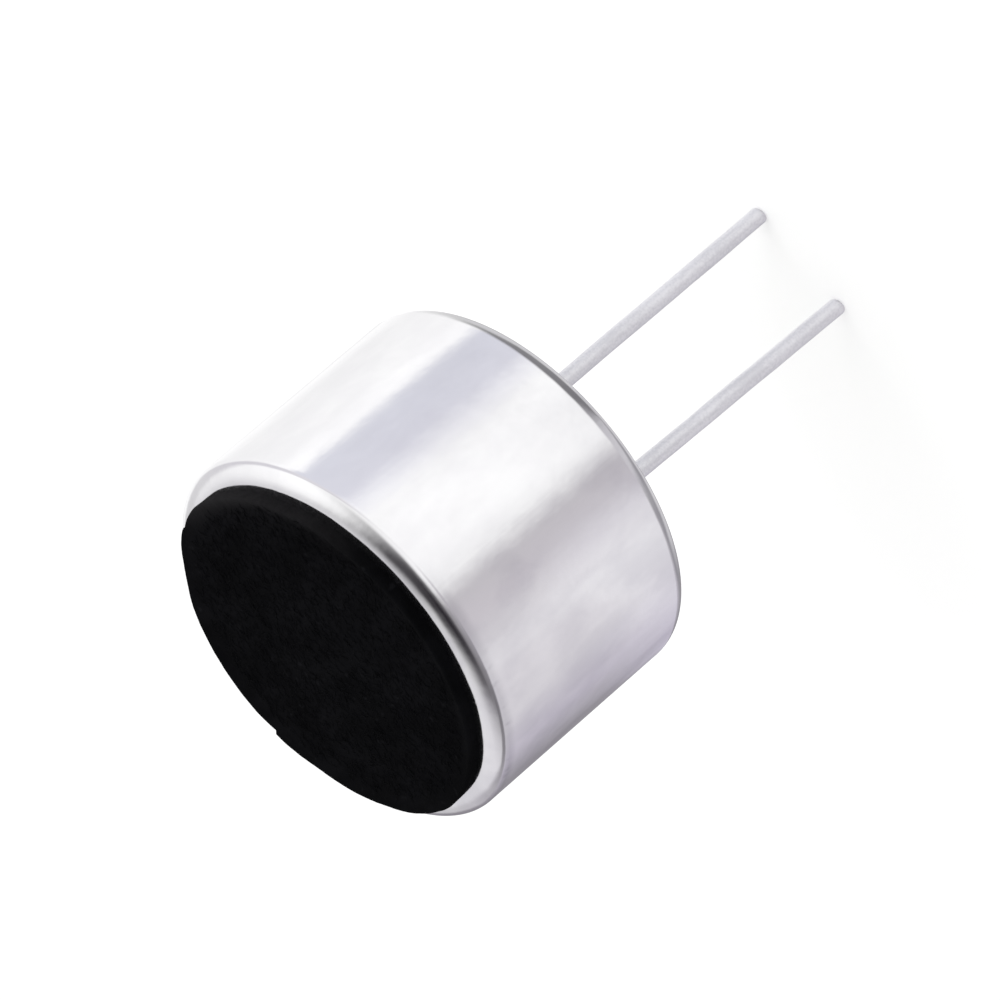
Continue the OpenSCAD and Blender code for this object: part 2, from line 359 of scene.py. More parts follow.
def green_resist(graph):
    """Green solder resist over a woven glass board."""
    own = graph.parts()
    radians_per_mm = 14
    warp = graph.math("SINE", own.out("X") * radians_per_mm)
    weft = graph.math("SINE", own.out("Y") * radians_per_mm)
    weave = warp * weft * 0.5 + 0.5
    clouds = graph.grain(0.8, 3)
    shade = weave * 0.35 + clouds * 0.65
    return {
        "Base Color": graph.mix(shade, (0.008, 0.085, 0.03, 1), (0.02, 0.15, 0.055, 1)),
        "Roughness": 0.28 + clouds * 0.15,
        "Normal": graph.bump(weave, 0.004 * MM),
    }


def plated_copper(graph):
    """Etched copper with a thin pale gold plating."""
    stain = graph.grain(1.5, 4, 0.6)
    tooth = graph.grain(20, 2)
    return {
        "Base Color": graph.mix(stain, (0.9, 0.66, 0.36, 1), (0.78, 0.52, 0.27, 1)),
        "Metallic": 1.0,
        "Roughness": 0.26 + stain * 0.14,
        "Normal": graph.bump(tooth, 0.003 * MM),
    }


def turned_brass(graph):
    """Turned brass with fine tool rings around its axis."""
    radians_per_mm = 120
    rings = graph.math("SINE", graph.from_axis(graph.parts()) * radians_per_mm) * 0.5 + 0.5
    stain = graph.grain(0.9, 3)
    return {
        "Base Color": graph.mix(stain, (0.8, 0.62, 0.3, 1), (0.66, 0.48, 0.2, 1)),
        "Metallic": 1.0,
        "Roughness": 0.22 + stain * 0.15,
        "Normal": graph.bump(rings, 0.002 * MM),
    }


def thin_film(graph):
    """Glossy stretched film with a faint unevenness."""
    waves = graph.grain(0.5, 2)
    return {
        "Base Color": graph.mix(waves, grey(0.82, 0, 0.06), grey(0.74, 0, 0.06)),
        "Metallic": 0.6,
        "Roughness": 0.12 + waves * 0.1,
    }


def natural_moulding(graph):
    """Natural moulded plastic, ivory and slightly cloudy."""
    clouds = graph.grain(0.7, 3)
    skin = graph.grain(14, 2)
    return {
        "Base Color": graph.mix(clouds, (0.8, 0.77, 0.69, 1), (0.72, 0.69, 0.6, 1)),
        "Roughness": 0.42 + clouds * 0.12,
        "Normal": graph.bump(skin, 0.003 * MM),
    }


def black_moulding(graph):
    """Black moulded epoxy with a fine matt skin."""
    skin = graph.grain(26, 2)
    return {
        "Base Color": graph.mix(skin, grey(0.012), grey(0.026)),
        "Roughness": 0.5 + skin * 0.15,
        "Normal": graph.bump(skin, 0.004 * MM),
    }


def chip_ceramic(graph):
    """Fired tan ceramic with a speckle."""
    speckle = graph.grain(30, 3)
    return {
        "Base Color": graph.mix(speckle, (0.5, 0.35, 0.22, 1), (0.38, 0.26, 0.16, 1)),
        "Roughness": 0.4 + speckle * 0.2,
    }


def pale_adhesive(graph):
    """Pressure-sensitive adhesive, translucent and pale."""
    clouds = graph.grain(3, 3)
    return {
        "Base Color": graph.mix(clouds, (0.76, 0.72, 0.6, 1), (0.66, 0.62, 0.5, 1)),
        "Roughness": 0.35 + clouds * 0.2,
    }


ALUMINIUM = finish("satin_aluminium", satin_aluminium)
FELT = finish("black_felt", black_felt)
HAIR = finish("felt_hair", felt_hair)
TIN = finish("tinned_wire", tinned_wire)
SOLDER = finish("bright_solder", bright_solder)
RESIST = finish("green_resist", green_resist)
COPPER = finish("plated_copper", plated_copper)
BRASS = finish("turned_brass", turned_brass)
FILM = finish("thin_film", thin_film)
ADHESIVE = finish("pale_adhesive", pale_adhesive)
NODE_FINISHES = {
    "diaphragm_ring": BRASS,
    "diaphragm": FILM,
    "spacer_ring": FILM,
    "electret_film": FILM,
    "back_plate": BRASS,
    "chamber": finish("natural_moulding", natural_moulding),
    "contact_ring": COPPER,
    "circuit_board": RESIST,
    "gate_land": COPPER,
    "output_land": COPPER,
    "ground_land": COPPER,
    "transistor_body": finish("black_moulding", black_moulding),
    "transistor_legs": TIN,
    "capacitor_body": finish("chip_ceramic", chip_ceramic),
    "capacitor_ends": TIN,
}


def dress_nodes():
    """Gives each carried-over node its finish."""
    for name, material in NODE_FINISHES.items():
        mesh = frame["nodes"][name].data
        mesh.materials.clear()
        mesh.materials.append(material)


def arc(centre, radius, start, stop, steps):
    """Points along an arc, by angles in degrees."""
    angles = [math.radians(start + (stop - start) * i / steps) for i in range(steps + 1)]
    return [(centre[0] + radius * math.cos(a), centre[1] + radius * math.sin(a)) for a in angles]


def soft_corner(before, corner, after):
    """Points of a curve that rounds off a corner between two points."""
    shares = [i / ROUND_STEPS for i in range(ROUND_STEPS + 1)]
    return [
        tuple((1 - t) ** 2 * a + 2 * t * (1 - t) * c + t ** 2 * b for a, c, b in zip(before, corner, after))
        for t in shares
    ]


# Faces that meet at more than this angle keep a sharp edge
SHARP_ANGLE = math.radians(28)


def new_piece(name, shape, material):
    """An object from a bmesh, with its faces outwards, smooth, and sharp only at real edges."""
    bmesh.ops.remove_doubles(shape, verts=shape.verts, dist=1e-7)
    bmesh.ops.recalc_face_normals(shape, faces=shape.faces)
    mesh = bpy.data.meshes.new(name)
    shape.to_mesh(mesh)
    shape.free()
    smooth_by_angle(mesh)
    mesh.materials.append(material)
    return add_object(name, mesh)


def smooth_by_angle(mesh):
    """Shades a mesh smooth, with a sharp edge only where its faces meet at an angle."""
    mesh.polygons.foreach_set("use_smooth", [True] * len(mesh.polygons))
    mesh.set_sharp_from_angle(angle=SHARP_ANGLE)


def turned(outline, steps, shift=None):
    """A surface turned about Z from (radius, height) points; shift moves each point a little."""
    shape = bmesh.new()
    rings = []
    for radius, height in outline:
        ring = []
        for i in range(steps):
            angle = 2 * math.pi * i / steps
            point = Vector((radius * math.cos(angle), radius * math.sin(angle), height))
            ring.append(shape.verts.new(point + shift(point) if shift else point))
        rings.append(ring)
    for upper, lower in zip(rings, rings[1:]):
        for i in range(steps):
            j = (i + 1) % steps
            shape.faces.new((upper[i], upper[j], lower[j], lower[i]))
    bmesh.ops.remove_doubles(shape, verts=shape.verts, dist=1e-8)
    return shape


def cup_outline(radius, low, high, rim_r, rear_r, soft):
    """The side of a drawn cup from the start of its front rim down to its rear edge."""
    rim_start = CASE_R - RIM_W
    rim_z = high - rim_r
    crease = math.degrees(math.acos((radius - rim_start) / rim_r))
    wall_top = rim_z + rim_r * math.sin(math.radians(crease))
    past = math.degrees(soft / rim_r)
    rim = arc((rim_start, rim_z), rim_r, 90, crease + past, RIM_STEPS)
    corner = soft_corner(rim[-1], (radius, wall_top), (radius, wall_top - soft))
    rear = arc((radius - rear_r, low + rear_r), rear_r, 0, -90, REAR_STEPS)
    return rim + corner[1:] + rear


def geometry_tree(name, sizes):
    """A new shape tree with named inputs; gives its graph, and a link to the incoming shape and sizes."""
    tree = bpy.data.node_groups.new(name, "GeometryNodeTree")
    tree.interface.new_socket("Shape", in_out="INPUT", socket_type="NodeSocketGeometry")
    for label, kind in sizes.items():
        tree.interface.new_socket(label, in_out="INPUT", socket_type=kind)
    tree.interface.new_socket("Shape", in_out="OUTPUT", socket_type="NodeSocketGeometry")
    graph = Graph(tree)
    return graph, graph.node("NodeGroupInput")


def run_tree(piece, graph, made, values):
    """Ends a tree, runs it on a piece with its sizes set, and leaves the result as a plain mesh."""
    graph.node("NodeGroupOutput", None, {"Shape": made})
    modifier = piece.modifiers.new(graph.tree.name, "NODES")
    modifier.node_group = graph.tree
    for item in graph.tree.interface.items_tree:
        if item.in_out == "INPUT" and item.name in values:
            modifier[item.identifier] = values[item.name]
    evaluated = piece.evaluated_get(bpy.context.evaluated_depsgraph_get())
    mesh = bpy.data.meshes.new_from_object(evaluated)
    piece.modifiers.remove(modifier)
    piece.data = mesh
    return mesh


def drill_inlets(case):
    """Cuts the sound holes: one in the middle and a ring of them around it."""
    graph, sizes = geometry_tree(
        "sound_inlets",
        {
            "Hole radius": "NodeSocketFloat",
            "Circle radius": "NodeSocketFloat",
            "Holes": "NodeSocketInt",
            "Depth": "NodeSocketFloat",
            "Height": "NodeSocketFloat",
            "Finish": "NodeSocketMaterial",
        },
    )
    drill = graph.node(
        "GeometryNodeMeshCylinder",
        None,
        {"Vertices": INLET_STEPS, "Radius": sizes.out("Hole radius"), "Depth": sizes.out("Depth")},
    )
    spots = graph.node(
        "GeometryNodeMeshCircle",
        {"fill_type": "TRIANGLE_FAN"},
        {"Vertices": sizes.out("Holes"), "Radius": sizes.out("Circle radius")},
    )
    drills = graph.node("GeometryNodeInstanceOnPoints", None, {"Points": spots, "Instance": drill})
    height = graph.node("ShaderNodeCombineXYZ", None, {"Z": sizes.out("Height")})
    raised = graph.node("GeometryNodeTransform", None, {"Geometry": drills, "Translation": height})
    cutters = graph.node("GeometryNodeRealizeInstances", None, {"Geometry": raised})
    drilled = graph.node(
        "GeometryNodeMeshBoolean",
        {"operation": "DIFFERENCE", "solver": "EXACT"},
        {"Mesh 1": sizes.out("Shape"), "Mesh 2": cutters},
    )
    whole = graph.node("GeometryNodeRealizeInstances", None, {"Geometry": drilled})
    made = graph.node(
        "GeometryNodeSetMaterial", None, {"Geometry": whole, "Material": sizes.out("Finish")}
    )
    values = {
        "Hole radius": INLET_D / 2,
        "Circle radius": INLET_CIRCLE_D / 2,
        "Holes": INLET_COUNT,
        "Depth": 2 * CASE_WALL,
        "Height": CASE_TOP - CASE_WALL / 2,
        "Finish": ALUMINIUM,
    }
    smooth_by_angle(run_tree(case, graph, made, values))


def make_case():
    """The drawn case: front, creased rim, wall, rolled lip and the inside."""
    outer = cup_outline(CASE_R, case_low.z, CASE_TOP, RIM_ROUND, REAR_ROUND, CREASE_SOFT)
    inner = cup_outline(
        CASE_R - CASE_WALL,
        case_low.z + CASE_WALL,
        CASE_TOP - CASE_WALL,
        RIM_ROUND - CASE_WALL,
        REAR_ROUND - CASE_WALL,
        CREASE_SOFT,
    )
    lip_r = CASE_R - LIP_W
    edge = arc((lip_r + LIP_DEBURR, LIP_DEBURR), LIP_DEBURR, -90, -180, ROUND_STEPS)
    inside = [(lip_r, CASE_WALL), *reversed(inner), (0, CASE_TOP - CASE_WALL)]
    outline = [(0, CASE_TOP), *outer, *edge, *inside]
    case = new_piece("case_shell", turned(outline, CASE_STEPS), ALUMINIUM)
    drill_inlets(case)
    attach(case, "root")
    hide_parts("case")


# The felt's cut edge: how far it lies off a true circle at some angles about Z, in degrees and millimetres
EDGE_CUT = [
    (-180, 0.01),
    (-145, -0.01),
    (-112, -0.06),
    (-95, -0.11),
    (-70, -0.15),
    (-45, -0.15),
    (-20, -0.09),
    (2, 0.03),
    (17, 0.04),
    (35, -0.06),
    (60, -0.02),
    (100, 0.02),
    (119, -0.1),
    (142, -0.085),
    (160, -0.02),
    (180, 0.01),
]
# The nicks that the punch left: an angle in degrees, how deep the edge steps in there, and over how many
# degrees that dies away
NICKS = [(98, 0.15 * MM, 7), (16.5, 0.06 * MM, 4)]
EDGE_WOBBLE = 0.028 * MM
# How fast the edge's unevenness dies away towards the middle, as a power of the radius
EDGE_REACH = 6
# The lumps and the matted fibres of the face: how deep and how fine they are
LUMP_DEPTH = 0.011 * MM
LUMPS_PER_MM = 0.9
MAT_DEPTH = 0.005 * MM
MAT_PER_MM = (4, 11)
# The least upward slope of what counts as the face
FACE_UP = 0.8


def felt_edge(angle):
    """How far the felt's cut edge lies off a true circle."""
    around = Vector((math.cos(angle), math.sin(angle), 0))
    wobble = noise.fractal(around * 2.6, 0.9, 2.2, 4) * EDGE_WOBBLE
    degrees = math.degrees(angle)
    for nick, depth, fade in NICKS:
        before = (nick - degrees) % 360
        wobble -= depth * math.exp(-before / fade)
    for (start, first), (stop, last) in zip(EDGE_CUT, EDGE_CUT[1:]):
        if start <= degrees <= stop:
            t = (degrees - start) / (stop - start)
            return wobble + (first + (last - first) * t * t * (3 - 2 * t)) * MM


def felt_place(point):
    """How far a point of the felt, or of what lies under it, lies off a true disc on the axis."""
    radius = point.xy.length
    if radius == 0:
        return FELT_SHIFT.copy()
    outwards = Vector((point.x, point.y, 0)) / radius
    around = math.atan2(point.y, point.x)
    return FELT_SHIFT + outwards * felt_edge(around) * (radius / FELT_R) ** EDGE_REACH


def felt_sink(x, y):
    """How far the felt's face lies below its highest plane, from its lumps and its matted fibres."""
    lumps = noise.fractal(Vector((x / MM * LUMPS_PER_MM, y / MM * LUMPS_PER_MM, 3.1)), 0.8, 2.0, 4)
    mat = noise.fractal(Vector((x / MM * MAT_PER_MM[0], y / MM * MAT_PER_MM[1], 7.7)), 0.6, 2.1, 3)
    return LUMP_DEPTH * (0.5 + 0.5 * lumps) + MAT_DEPTH * (0.5 + 0.5 * mat)


def make_felt():
    """The felt disc, from the middle of its face over the cut edge to its underside."""
    flat_r = FELT_R - FELT_ROUND
    face = [(flat_r * i / FELT_RINGS, felt_high.z) for i in range(FELT_RINGS)]
    edge = arc((flat_r, felt_high.z - FELT_ROUND), FELT_ROUND, 90, 0, ROUND_STEPS)
    skirt_r = (FELT_R + GLUE_R) / 2
    skirt = [(FELT_R - SKIRT_DRAW, CASE_TOP), (skirt_r, CASE_TOP), (skirt_r, felt_low.z)]
    under = [(FELT_R * 0.6, felt_low.z), (0, felt_low.z)]

    def shift(point):
        moved = felt_place(point)
        if point.z > felt_low.z + FELT_ROUND:
            inner = 1 - min(1, point.xy.length / flat_r) ** FIBRE_ROOM_REACH
            moved.z -= felt_sink(point.x, point.y) + FIBRE_ROOM * inner
        return moved

    felt = new_piece("felt_disc", turned([*face, *edge, *skirt, *under], FELT_STEPS, shift), FELT)
    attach(felt, "root")
    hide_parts("dust_felt")
    return felt


def make_adhesive():
    """The ring of adhesive, which lies where the felt lies."""
    low, high = CASE_TOP, felt_low.z
    inner_r = GLUE_R - GLUE_W
    outline = [(inner_r, low), (inner_r, high), (GLUE_R, high), (GLUE_R, low), (inner_r, low)]
    shape = turned(outline, FELT_STEPS, felt_place)
    ring = new_piece("adhesive_ring", shape, ADHESIVE)
    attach(ring, "root")
    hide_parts("felt_adhesive")


def make_fibres(felt):
    """Loose fibres that lie on the felt."""
    graph, sizes = geometry_tree(
        "loose_fibres",
        {
            "Density": "NodeSocketFloat",
            "Length": "NodeSocketFloat",
            "Radius": "NodeSocketFloat",
            "Seed": "NodeSocketInt",
            "Finish": "NodeSocketMaterial",
        },
    )
    spots = graph.node(
        "GeometryNodeDistributePointsOnFaces",
        None,
        {"Mesh": sizes.out("Shape"), "Density": sizes.out("Density"), "Seed": sizes.out("Seed")},
    )
    length = sizes.out("Length")
    rise = graph.node(
        "ShaderNodeCombineXYZ", None, {"X": length * 0.5, "Y": length * 0.18, "Z": length * 0.07}
    )
    end = graph.node(
        "ShaderNodeCombineXYZ", None, {"X": length, "Y": length * -0.1, "Z": length * 0.02}
    )
    line = graph.node(
        "GeometryNodeCurveQuadraticBezier",
        None,
        {"Resolution": 4, "Start": (0, 0, 0), "Middle": rise, "End": end},
    )
    round_profile = graph.node(
        "GeometryNodeCurvePrimitiveCircle", None, {"Resolution": 3, "Radius": sizes.out("Radius")}
    )
    fibre = graph.node("GeometryNodeCurveToMesh", None, {"Curve": line, "Profile Curve": round_profile})
    turn = graph.node(
        "FunctionNodeRandomValue",
        {"data_type": "FLOAT_VECTOR"},
        {"Min": (0, -0.08, 0), "Max": (0, 0.04, 2 * math.pi), "Seed": sizes.out("Seed")},
    )
    heading = graph.node("FunctionNodeEulerToRotation", None, {"Euler": turn})
    smallest, largest = FIBRE_SIZES
    scale = graph.node(
        "FunctionNodeRandomValue", None, {"Min": smallest, "Max": largest, "Seed": sizes.out("Seed")}
    )
    scattered = graph.node(
        "GeometryNodeInstanceOnPoints",
        None,
        {"Points": spots, "Instance": fibre, "Rotation": heading, "Scale": scale},
    )
    whole = graph.node("GeometryNodeRealizeInstances", None, {"Geometry": scattered})
    made = graph.node(
        "GeometryNodeSetMaterial", None, {"Geometry": whole, "Material": sizes.out("Finish")}
    )
    fibres = add_object("felt_fibres", felt.data.copy())
    keep_face(fibres.data)
    values = {
        "Density": FIBRE_DENSITY,
        "Length": FIBRE_L,
        "Radius": FIBRE_R,
        "Seed": FIBRE_SEED,
        "Finish": HAIR,
    }
    run_tree(fibres, graph, made, values)
    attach(fibres, "root")


def keep_face(mesh):
    """Leaves the felt's face up to a little way in from its cut edge."""
    reach = FELT_R - FIBRE_MARGIN
    shape = bmesh.new()
    shape.from_mesh(mesh)
    others = [
        f for f in shape.faces if f.normal.z < FACE_UP or f.calc_center_median().xy.length > reach
    ]
    bmesh.ops.delete(shape, geom=others, context="FACES")
    shape.to_mesh(mesh)
    shape.free()


def stand_along(shape, top, axis):
    """Turns a shape made about Z so that its +Z runs along axis from top."""
    turn = Vector((0, 0, 1)).rotation_difference(axis).to_matrix().to_4x4()
    bmesh.ops.transform(shape, matrix=Matrix.Translation(top) @ turn, verts=shape.verts)


# A wire's wander and swelling, and the slanted, rounded end that the cutter left
WIRE_STEPS = 40
WIRE_RINGS = 90
WIRE_WANDER = 0.012 * MM
WANDERS_PER_MM = 0.55
WIRE_SWELL = 0.018
SWELLS_PER_MM = 1.3
CUT_ROUND = 0.07 * MM
CUT_SLANT = 0.05 * MM


def make_lead(name, mount_name, node):
    """A tinned wire from its land to its cut end."""
    mount = mounts[mount_name]
    axis = Vector(mount["axis"]).normalized()
    radius = mount["dims"]["r_mm"] * MM
    low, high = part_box(node)
    middle = Vector(mount["pos_m"])
    top = middle + axis * ((high.z - middle.z) / axis.z)
    length = (low.z - high.z) / axis.z
    straight_l = length - CUT_ROUND - CUT_SLANT
    side = [(radius, straight_l * i / WIRE_RINGS) for i in range(WIRE_RINGS + 1)]
    tip = arc((radius - CUT_ROUND, straight_l), CUT_ROUND, 0, 90, ROUND_STEPS)
    seed = Vector((mount["pos_m"][0] / MM, 0.7, 0.3))

    def shift(point):
        along = point.z / MM
        drift = seed + Vector((0, 0, along * WANDERS_PER_MM))
        wander_x = noise.noise(drift) * WIRE_WANDER
        wander_y = noise.noise(drift + Vector((0, 9.1, 0))) * WIRE_WANDER
        swell = WIRE_SWELL * noise.noise(seed * 3 + Vector((0, 0, along * SWELLS_PER_MM)))
        at_end = point.z > straight_l - 2 * CUT_ROUND
        slant = CUT_SLANT * (0.5 + 0.5 * point.x / radius) if at_end else 0
        return Vector((point.x * swell + wander_x, point.y * swell + wander_y, slant))

    shape = turned([(0, 0), *side, *tip[1:], (0, straight_l + CUT_ROUND)], WIRE_STEPS, shift)
    stand_along(shape, top, axis)
    wire = new_piece(name, shape, TIN)
    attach(wire, "root")
    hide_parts(node)


# The hollow flank of a solder joint, its skin on the wire, and how uneven it set
SOLDER_STEPS = 72
FLANK_STEPS = 18
FLANK_HOLLOW = 2.2
SOLDER_SKIN = 0.05 * MM
SOLDER_UNEVEN = 0.02 * MM
UNEVEN_PER_MM = 2.4


def make_solder(name, mount_name, node):
    """A solder joint: a hollow cone that wets the land and climbs the wire."""
    mount = mounts[mount_name]
    wire_r = mount["dims"]["r_mm"] * MM
    low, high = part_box(node)
    centre = Vector(((low.x + high.x) / 2, (low.y + high.y) / 2, high.z))
    height = high.z - low.z
    foot_r = (high.x - low.x) / 2
    neck_r = wire_r + SOLDER_SKIN
    shares = [i / FLANK_STEPS for i in range(FLANK_STEPS + 1)]
    flank = [(neck_r + (foot_r - neck_r) * (1 - t) ** FLANK_HOLLOW, height * t) for t in shares]
    inside_wire = [(wire_r * 0.9, height), (0, height * 0.98)]
    outline = [(0, 0), *flank, *inside_wire]
    seed = centre / MM

    def shift(point):
        radius = point.xy.length
        if radius < wire_r or point.z < height * 0.02:
            return Vector((0, 0, 0))
        share = (height - point.z) / height
        lift = noise.noise(seed + point / MM * UNEVEN_PER_MM) * SOLDER_UNEVEN * share
        return Vector((point.x, point.y, 0)) / radius * min(lift, foot_r - radius)

    shape = turned(outline, SOLDER_STEPS, shift)
    stand_along(shape, centre, Vector((0, 0, -1)))
    joint = new_piece(name, shape, SOLDER)
    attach(joint, "root")
    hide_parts(node)


def photo_camera():
    """The camera, placed so that the front of the case falls where the picture has it."""
    sin_t, cos_t = math.sin(VIEW_TILT), math.cos(VIEW_TILT)
    sin_r, cos_r = math.sin(VIEW_ROLL), math.cos(VIEW_ROLL)
    right = Vector((-sin_r, -cos_t * cos_r, -sin_t * cos_r))
    down = Vector((-cos_r, cos_t * sin_r, sin_t * sin_r))
    ahead = Vector((0, sin_t, -cos_t))
    pixel = MM / PIXELS_PER_MM
    across, below = [(p - IMAGE_PIXELS / 2) * pixel for p in FRONT_PIXEL]
    distance = FOCAL_PIXELS * pixel
    data = bpy.data.cameras.new("photo_camera")
    data.sensor_width = SENSOR_W
    data.lens = SENSOR_W * FOCAL_PIXELS / IMAGE_PIXELS
    data.clip_start = distance / 10
    data.clip_end = distance * 10
    camera = add_object("photo_camera", data)
    front = Vector((0, 0, CASE_TOP))
    turn = Matrix((right, -down, -ahead)).transposed().to_4x4()
    place = front - right * across - down * below - ahead * distance
    camera.matrix_world = Matrix.Translation(place) @ turn
    bpy.context.scene.camera = camera


# The studio's strength at a grey of 1, and its plain light on what isn't metal
STUDIO_STRENGTH = 1.25
PLAIN_LIGHT = 0.85
# Soft cards around the object: a heading in degrees from the camera's side towards +X, and the card's grey
CARDS = [
    (-180, grey(0.58)),
    (-170, grey(0.22, 0.05, 0.1)),
    (-156, grey(0.22, 0.05, 0.1)),
    (-142, grey(0.3, 0.05, 0.12)),
    (-124, grey(0.4, 0.06, 0.15)),
    (-98, grey(0.53, 0.03, 0.06)),
    (-76, grey(0.58, 0.03, 0.05)),
    (-60, grey(0.62, 0.02, 0.04)),
    (-48, grey(0.53, 0.03, 0.05)),
    (-36, grey(0.45, 0.05, 0.07)),
    (-22, grey(0.42, 0.04, 0.06)),
    (-10, grey(0.8)),
    (-2, grey(0.87)),
    (26, grey(0.9)),
    (38, grey(0.86)),
    (47, grey(0.78, 0, 0.04)),
    (58, grey(0.605, 0, 0.1)),
    (84, grey(0.605, -0.01, 0.1)),
    (91, grey(0.92)),
    (97, grey(0.93)),
    (104, grey(0.87)),
    (142, grey(0.8)),
    (164, grey(0.86)),
    (180, grey(0.58)),
]
# Below the cards, what the rear edge mirrors
UNDER = [
    (-180, grey(0.22, 0.03, 0.07)),
    (-120, grey(0.24, 0.03, 0.08)),
    (-60, grey(0.3, 0.02, 0.06)),
    (-36, grey(0.5, 0.02, 0.05)),
    (-6, grey(0.48, 0.02, 0.05)),
    (16, grey(0.17, 0.02, 0.05)),
    (84, grey(0.2, 0.02, 0.06)),
    (104, grey(0.3)),
    (120, grey(0.55)),
    (150, grey(0.55)),
    (180, grey(0.22, 0.03, 0.07)),
]
# Above the cards, a darker gap, which the crease of the rim mirrors
GAP = [
    (-180, grey(0.55)),
    (-155, grey(0.45, 0.03, 0.06)),
    (-135, grey(0.3, 0.04, 0.08)),
    (-112, grey(0.2, 0.04, 0.08)),
    (-92, grey(0.2, 0.04, 0.08)),
    (-45, grey(0.3, 0.04, 0.07)),
    (-16, grey(0.45, 0.04, 0.06)),
    (4, grey(0.85)),
    (32, grey(0.85)),
    (60, grey(0.62, 0.02, 0.06)),
    (130, grey(0.58, 0.02, 0.05)),
    (180, grey(0.55)),
]
# Above the gap, the soft light that the rim mirrors
SKY = [
    (-180, grey(0.62, 0.01, 0.03)),
    (-135, grey(0.59, 0.02, 0.05)),
    (-95, grey(0.39, 0.03, 0.06)),
    (-60, grey(0.25, 0.04, 0.07)),
    (-25, grey(0.3, 0.04, 0.06)),
    (-5, grey(0.95)),
    (40, grey(0.95)),
    (62, grey(0.88)),
    (90, grey(0.95)),
    (140, grey(0.85)),
    (180, grey(0.62, 0.01, 0.03)),
]
ZENITH = grey(0.885)
# Far below, on the far side: its grey, and where it starts by the ray's Y
FAR_UNDER = grey(0.52, 0.01, 0.03)
FAR_UNDER_BEHIND = (0.02, 0.26)
# The heights between which each belt gives way to the next, in degrees
UNDER_FROM = (-31, -46)
FAR_UNDER_FROM = (-42, -58)
GAP_FROM = (-4, 4)
SKY_FROM = (14, 24)
ZENITH_FROM = (50, 78)
PATCHES_FROM = (2, 18)
# Soft dark patches overhead, for the rim to mirror: a patch's middle by the ray's X and Y, its turn in
# degrees, its half lengths and its depth
PATCHES = [
    ((-0.257, -0.265), -13.1, (0.785, 0.358), 1.0),
    ((-0.119, -0.019), 97.2, (0.378, 0.357), 0.947),
    ((0.116, 0.114), 95.2, (0.491, 0.169), 0.868),
]
PATCH_GREY = grey(0.01, 0.3, 0.45)


def turn_share(heading):
    """A heading in degrees as a share of a turn, from the far side round by the camera's."""
    return heading / 360 + 0.5


def heading_of(graph, parts):
    """The heading of a direction or a place, as such a share of a turn."""
    return graph.math("ARCTAN2", parts.out("X"), 0 - parts.out("Y")) / (2 * math.pi) + 0.5


def by_heading(graph, heading, stops):
    """A ramp around the object, by heading in degrees."""
    places = [(turn_share(h), colour) for h, colour in stops]
    return graph.node("ShaderNodeValToRGB", {"stops": places}, {"Fac": heading})


def studio_light():
    """White for the camera, plain soft light on the object, and cards and patches for metal to mirror."""
    world = bpy.data.worlds.new("studio")
    world.use_nodes = True
    bpy.context.scene.world = world
    graph = Graph(world.node_tree)
    ray = graph.node("ShaderNodeTexCoord").out("Generated")
    parts = graph.parts(ray)
    heading = heading_of(graph, parts)
    height = graph.math("ARCSINE", parts.out("Z")) * (180 / math.pi)
    room = by_heading(graph, heading, CARDS)
    under = graph.step(0 - height, *[-h for h in UNDER_FROM])
    room = graph.mix(under, room, by_heading(graph, heading, UNDER))
    behind = graph.step(parts.out("Y"), *FAR_UNDER_BEHIND)
    room = graph.mix(graph.step(0 - height, *[-h for h in FAR_UNDER_FROM]) * behind, room, FAR_UNDER)
    room = graph.mix(graph.step(height, *GAP_FROM), room, by_heading(graph, heading, GAP))
    room = graph.mix(graph.step(height, *SKY_FROM), room, by_heading(graph, heading, SKY))
    room = graph.mix(graph.step(height, *ZENITH_FROM), room, ZENITH)
    overhead = graph.step(height, *PATCHES_FROM)
    for (x, y), turn, (length, width), depth in PATCHES:
        cosine, sine = math.cos(math.radians(turn)), math.sin(math.radians(turn))
        off_x, off_y = parts.out("X") - x, parts.out("Y") - y
        along = off_x * (cosine / length) + off_y * (sine / length)
        aside = off_y * (cosine / width) - off_x * (sine / width)
        share = graph.math("EXPONENT", 0 - (along * along + aside * aside)) * overhead * depth
        room = graph.mix(share, room, PATCH_GREY)
    path = graph.node("ShaderNodeLightPath")
    glossy = path.out("Is Glossy Ray")
    seen = graph.math("MAXIMUM", path.out("Is Camera Ray"), path.out("Is Transmission Ray"))
    plain = grey(PLAIN_LIGHT / STUDIO_STRENGTH)
    colour = graph.mix(seen, graph.mix(glossy, plain, room), grey(1 / STUDIO_STRENGTH))
    shine = graph.node("ShaderNodeBackground", None, {"Color": colour, "Strength": STUDIO_STRENGTH})
    graph.node("ShaderNodeOutputWorld", None, {"Surface": shine})


# A pale curved card low on the side of -X: its radius, its headings in degrees and its height. Its upper edge
# is uneven, fades between two heights in millimetres at one heading and lies lower further round. Its end
# fades too.
LOW_CARD_R = 20 * MM
LOW_CARD_STEPS = 40
LOW_CARD_HEADINGS = (-180, -24)
LOW_CARD_Z = (-10.4 * MM, -2 * MM)
LOW_CARD_FADE = (-3.8, -7.4)
LOW_CARD_FADE_AT = -60
LOW_CARD_FALL = 13.5
LOW_CARD_UNEVEN = 5
LOW_CARD_END = (-18, -43.2)
LOW_CARD = [
    (-180, grey(0.75)),
    (-160, grey(0.55, 0.05, 0.16)),
    (-132, grey(0.54, 0.06, 0.17)),
    (-110, grey(0.64, 0.04, 0.12)),
    (-80, grey(0.79, 0.02, 0.05)),
    (-60, grey(0.88, 0.01, 0.03)),
    (-40, grey(0.68, 0.03, 0.07)),
    (-24, grey(0.5, 0.04, 0.08)),
]


